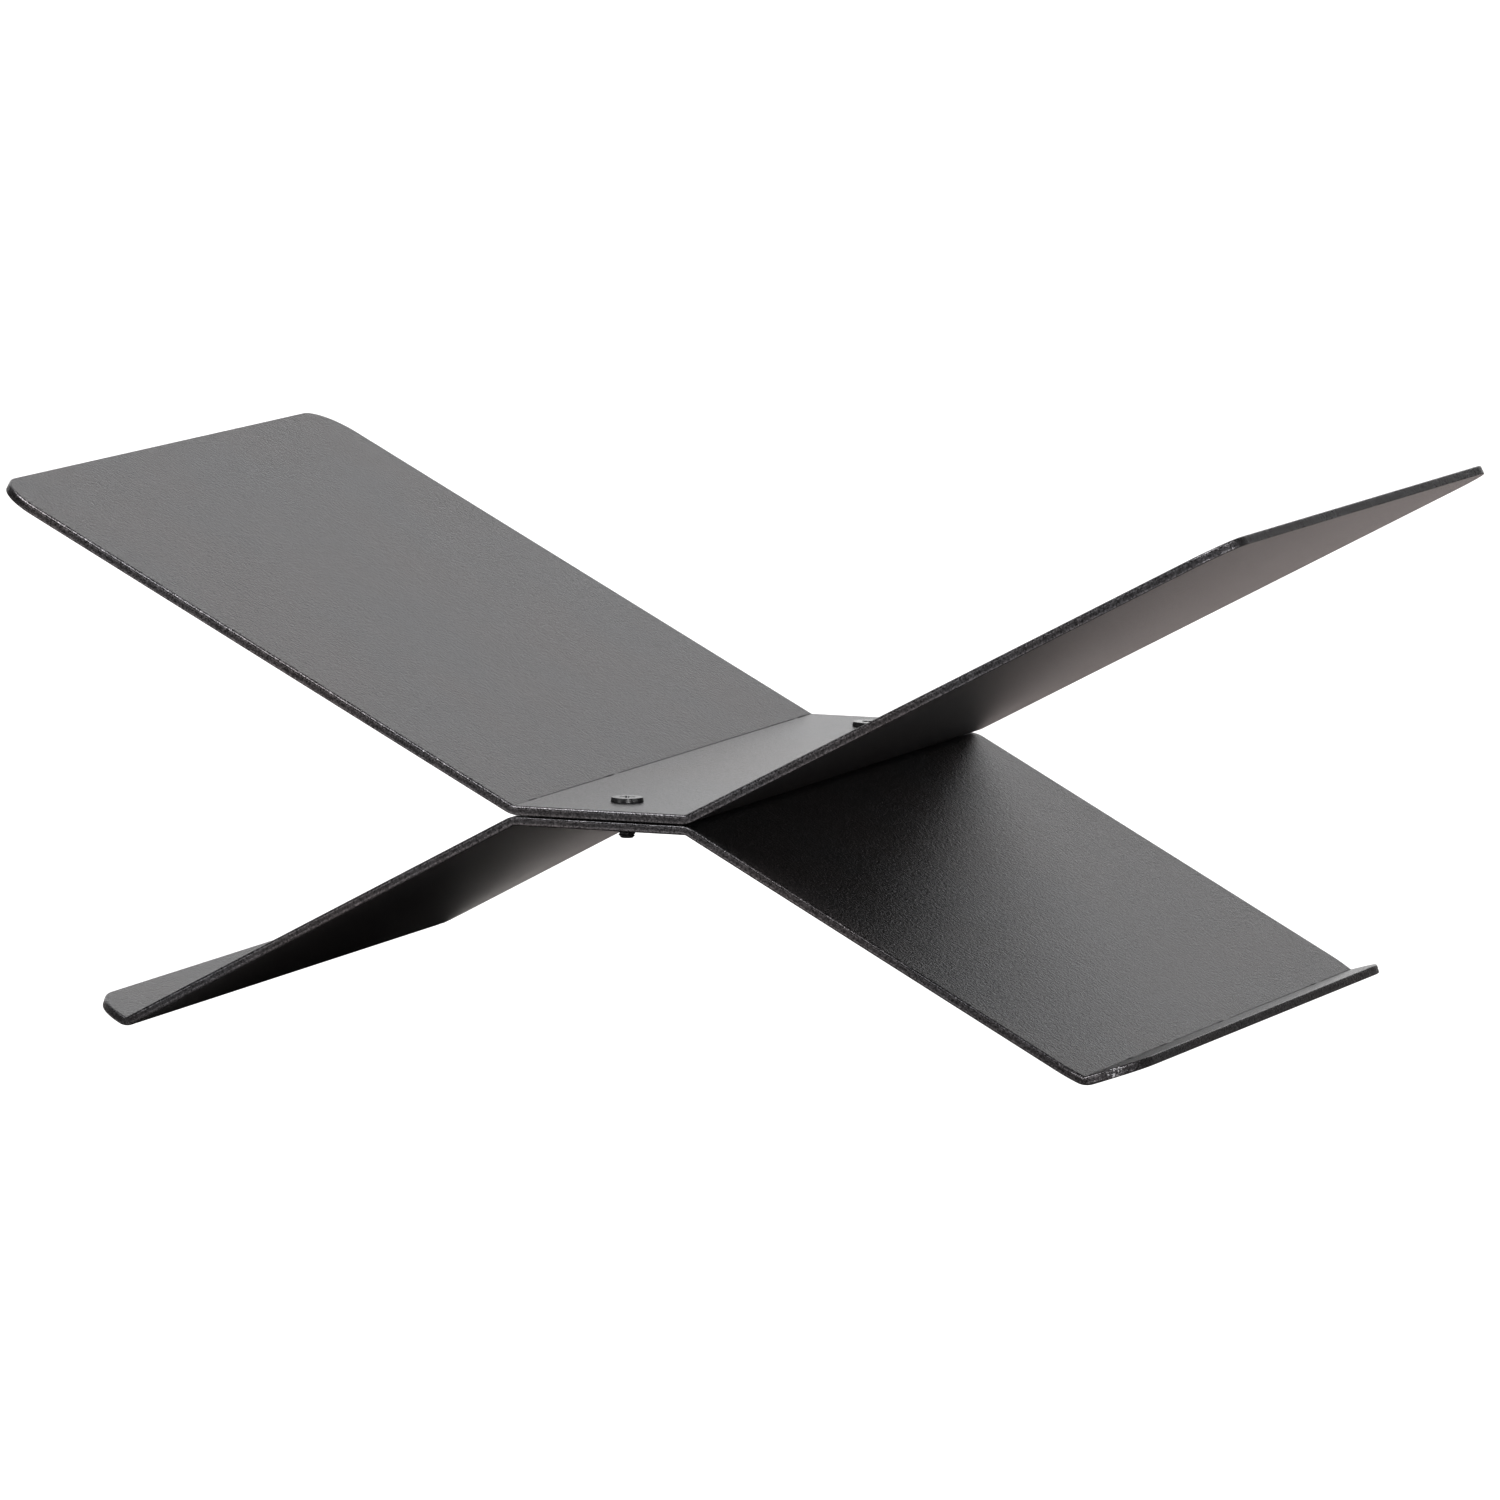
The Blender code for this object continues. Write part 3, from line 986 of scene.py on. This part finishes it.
for sheet, node, slot, material in (
    (upper_sheet, "upper_plate", "coat_upper", coat_upper),
    (lower_sheet, "lower_plate", "coat_lower", coat_lower),
):
    sheet.data.materials.append(material)
    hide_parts(node)
    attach(sheet, "root")

for node, y in (("screw_front", -SCREW_SPACING / 2), ("screw_rear", SCREW_SPACING / 2)):
    screw = make_screw(node + "_detailed", y, upper_top, SCREW_TURNS[node])
    screw.data.materials.append(steel)
    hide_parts(node)
    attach(screw, "root")

# ---------------------------------------------------------------- the studio

floor_mesh = bpy.data.meshes.new("floor")
work = bmesh.new()
bmesh.ops.create_grid(work, x_segments=8, y_segments=8, size=40.0)
work.to_mesh(floor_mesh)
work.free()
floor = bpy.data.objects.new("floor", floor_mesh)
floor.location.z = -0.00005
bpy.context.scene.collection.objects.link(floor)
floor_mesh.materials.append(pale_floor())

# A lit white backdrop behind the stand, about 30 degrees to each side and 45 high,
# in an otherwise dim room. Seen directly, all of the room is plain white.
BACKDROP = Vector((-0.337, 0.905, 0.259))

world = bpy.data.worlds.new("studio")
bpy.context.scene.world = world
world.use_nodes = True
tree = world.node_tree
background = next(n for n in tree.nodes if n.type == "BACKGROUND")
toward = tree.nodes.new("ShaderNodeTexCoord").outputs["Generated"]
facing = tree.nodes.new("ShaderNodeVectorMath")
facing.operation = "DOT_PRODUCT"
facing.inputs[1].default_value = BACKDROP
tree.links.new(toward, facing.inputs[0])
lit = tree.nodes.new("ShaderNodeMapRange")
lit.interpolation_type = "SMOOTHSTEP"
lit.inputs["From Min"].default_value = 0.82
lit.inputs["From Max"].default_value = 0.92
lit.inputs["To Min"].default_value = 0.15
lit.inputs["To Max"].default_value = 1.36
tree.links.new(facing.outputs["Value"], lit.inputs["Value"])
# The backdrop ends sharply a little to the right of straight behind.
apart = tree.nodes.new("ShaderNodeSeparateXYZ")
tree.links.new(toward, apart.inputs[0])
within = tree.nodes.new("ShaderNodeMapRange")
within.interpolation_type = "SMOOTHSTEP"
within.inputs["From Min"].default_value = 0.05
within.inputs["From Max"].default_value = 0.17
within.inputs["To Min"].default_value = 1.0
within.inputs["To Max"].default_value = 0.0
tree.links.new(apart.outputs["X"], within.inputs["Value"])
reflected = tree.nodes.new("ShaderNodeMix")
tree.links.new(within.outputs["Result"], reflected.inputs["Factor"])
reflected.inputs["A"].default_value = 0.15
tree.links.new(lit.outputs["Result"], reflected.inputs["B"])
direct = tree.nodes.new("ShaderNodeLightPath").outputs["Is Camera Ray"]
strength = tree.nodes.new("ShaderNodeMix")
tree.links.new(direct, strength.inputs["Factor"])
tree.links.new(reflected.outputs["Result"], strength.inputs["A"])
strength.inputs["B"].default_value = 1.02
background.inputs["Color"].default_value = (1.0, 1.0, 1.0, 1.0)
tree.links.new(strength.outputs["Result"], background.inputs["Strength"])


def softbox(name, toward, distance, width, height, brightness):
    """A rectangular light, in a direction from the stand and aimed at it."""
    light = bpy.data.lights.new(name, "AREA")
    light.shape = "RECTANGLE"
    light.size, light.size_y = width, height
    light.energy = brightness * math.pi * width * height
    obj = bpy.data.objects.new(name, light)
    place = Vector(toward).normalized() * distance + Vector((0.0, 0.0, 0.07))
    obj.location = place
    obj.rotation_euler = (Vector((0.0, 0.0, 0.07)) - place).to_track_quat("-Z", "Y").to_euler()
    obj.visible_camera = False
    bpy.context.scene.collection.objects.link(obj)
    return obj


softbox("top_softbox", (-0.16, -0.22, 0.95), 2.2, 1.7, 1.7, 7.5)
softbox("right_softbox", (0.86, -0.02, 0.51), 2.6, 0.5, 0.5, 22.0)
softbox("low_right_softbox", (0.89, -0.36, 0.28), 2.6, 0.5, 0.5, 10.0)
softbox("front_softbox", (0.46, -0.86, 0.14), 3.4, 1.1, 1.0, 9.0)
softbox("left_softbox", (-0.56, -0.82, 0.08), 3.0, 0.9, 0.8, 4.0)

# ---------------------------------------------------------------- the camera

CAMERA_AZIMUTH = math.radians(20.441)
CAMERA_ELEVATION = math.radians(6.887)
CAMERA_ROLL = math.radians(0.520)
CAMERA_DISTANCE = 3.9803
CAMERA_TARGET = Vector((-0.0002, 0.0, 0.07525))
CAMERA_LENS = 321.80

look = Vector(
    (
        -math.sin(CAMERA_AZIMUTH) * math.cos(CAMERA_ELEVATION),
        math.cos(CAMERA_AZIMUTH) * math.cos(CAMERA_ELEVATION),
        -math.sin(CAMERA_ELEVATION),
    )
)
level_right = Vector((math.cos(CAMERA_AZIMUTH), math.sin(CAMERA_AZIMUTH), 0.0))
level_up = level_right.cross(look)
right = level_right * math.cos(CAMERA_ROLL) + level_up * math.sin(CAMERA_ROLL)
up = level_up * math.cos(CAMERA_ROLL) - level_right * math.sin(CAMERA_ROLL)
place = CAMERA_TARGET - look * CAMERA_DISTANCE
camera_data = bpy.data.cameras.new("camera")
camera_data.sensor_fit = "HORIZONTAL"
camera_data.sensor_width = 36.0
camera_data.lens = CAMERA_LENS
camera_data.clip_start, camera_data.clip_end = 0.1, 200.0
camera = bpy.data.objects.new("camera", camera_data)
camera.matrix_world = Matrix(
    (
        (right.x, up.x, -look.x, place.x),
        (right.y, up.y, -look.y, place.y),
        (right.z, up.z, -look.z, place.z),
        (0.0, 0.0, 0.0, 1.0),
    )
)
bpy.context.scene.collection.objects.link(camera)
bpy.context.scene.camera = camera

# A contrasty curve, as in the photograph's finish.
bpy.context.scene.view_settings.view_transform = "Standard"
bpy.context.scene.view_settings.gamma = 0.83
bpy.context.scene.view_settings.exposure = 0.43

bpy.context.view_layer.update()
